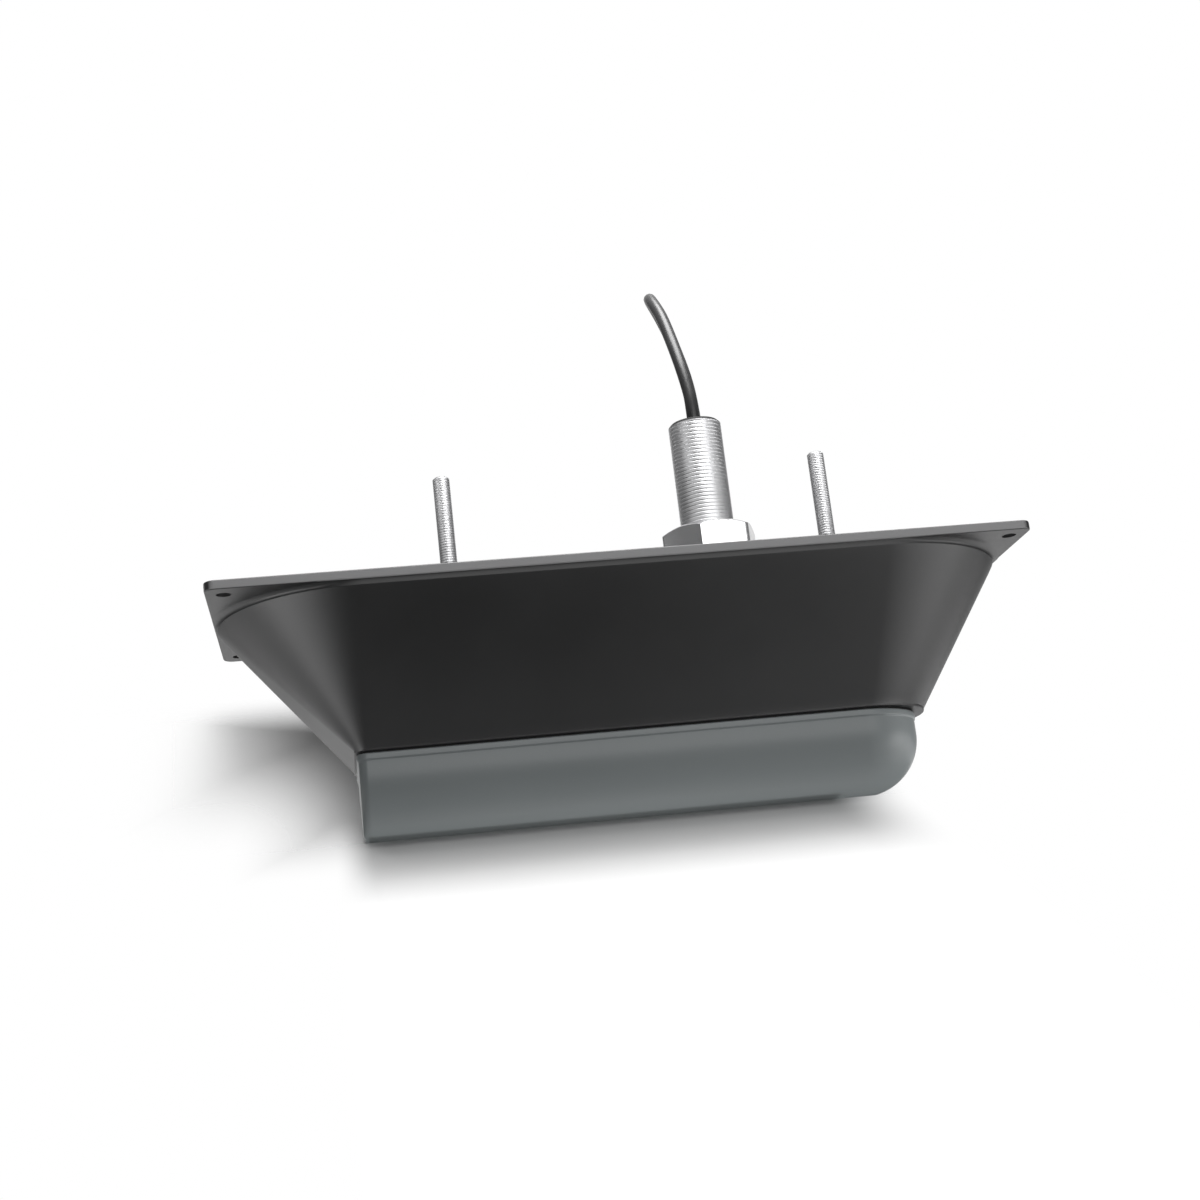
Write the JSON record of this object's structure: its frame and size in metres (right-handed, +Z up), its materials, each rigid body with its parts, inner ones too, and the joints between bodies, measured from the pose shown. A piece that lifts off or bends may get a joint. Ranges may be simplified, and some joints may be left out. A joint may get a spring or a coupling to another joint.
{
  "type": "sonar transducer",
  "caption": "Through-hull sonar transducer: moulded black fairing under a flat flange, rounded grey acoustic window below, threaded studs, hollow stem with nut, and cable with plug.",
  "frame": {"origin": "under the middle of the mounting flange, on the level of the acoustic window's base", "axes": "+X from stern to bow along the flange, +Y to port, +Z up towards the hull"},
  "size_m": [0.368, 0.2635, 0.2842],
  "materials": {
    "fairing_plastic": "moulded, matte, fine grain",
    "window_plastic": "cast, satin, slightly translucent look",
    "stainless": "turned, satin",
    "nut_steel": "machined, bright",
    "seal_rubber": "moulded",
    "carrier_plastic": "machined block",
    "ceramic": "fired, unglazed",
    "matching_resin": "cast filled resin",
    "absorber_cork": "pressed cork and rubber",
    "brass": "turned",
    "board_laminate": "green solder mask",
    "copper_winding": "enamelled wire on a ring core",
    "terminal_plastic": "moulded",
    "header_plastic": "moulded",
    "red_wire": "insulated wire",
    "yellow_wire": "insulated wire",
    "cable_jacket": "smooth jacket",
    "tie_fabric": "hook-and-loop strap",
    "plug_plastic": "moulded",
    "pin_gold": "plated"
  },
  "bodies": {
    "root": {"fairing_housing": "fairing_plastic", "acoustic_window": "window_plastic", "window_gasket": "seal_rubber", "backing_plate": "stainless", "plate_screws": "stainless", "stem": "stainless", "stem_nut": "nut_steel", "stem_o_ring": "seal_rubber", "mounting_studs": "stainless", "stud_o_rings": "seal_rubber", "element_carrier": "carrier_plastic", "carrier_screws": "stainless", "port_elements": "ceramic", "starboard_elements": "ceramic", "down_elements": "ceramic", "port_matching_strip": "matching_resin", "starboard_matching_strip": "matching_resin", "down_matching_strip": "matching_resin", "port_absorber": "absorber_cork", "starboard_absorber": "absorber_cork", "down_absorber": "absorber_cork", "temperature_sensor": "brass", "circuit_board": "board_laminate", "board_standoffs": "brass", "board_screws": "stainless", "tuning_coils": "copper_winding", "terminal_block": "terminal_plastic", "wire_header": "header_plastic", "element_wires": "red_wire", "cable_wires": "yellow_wire", "cable_entry": "cable_jacket", "cable_ferrule": "brass", "cable_bung": "seal_rubber", "cable_lead": "cable_jacket", "cable_coil": "cable_jacket", "coil_tie": "tie_fabric", "cable_tail": "cable_jacket", "connector_boot": "cable_jacket", "connector_body": "plug_plastic", "connector_collar": "plug_plastic", "connector_pins": "pin_gold"}
  },
  "joints": []
}
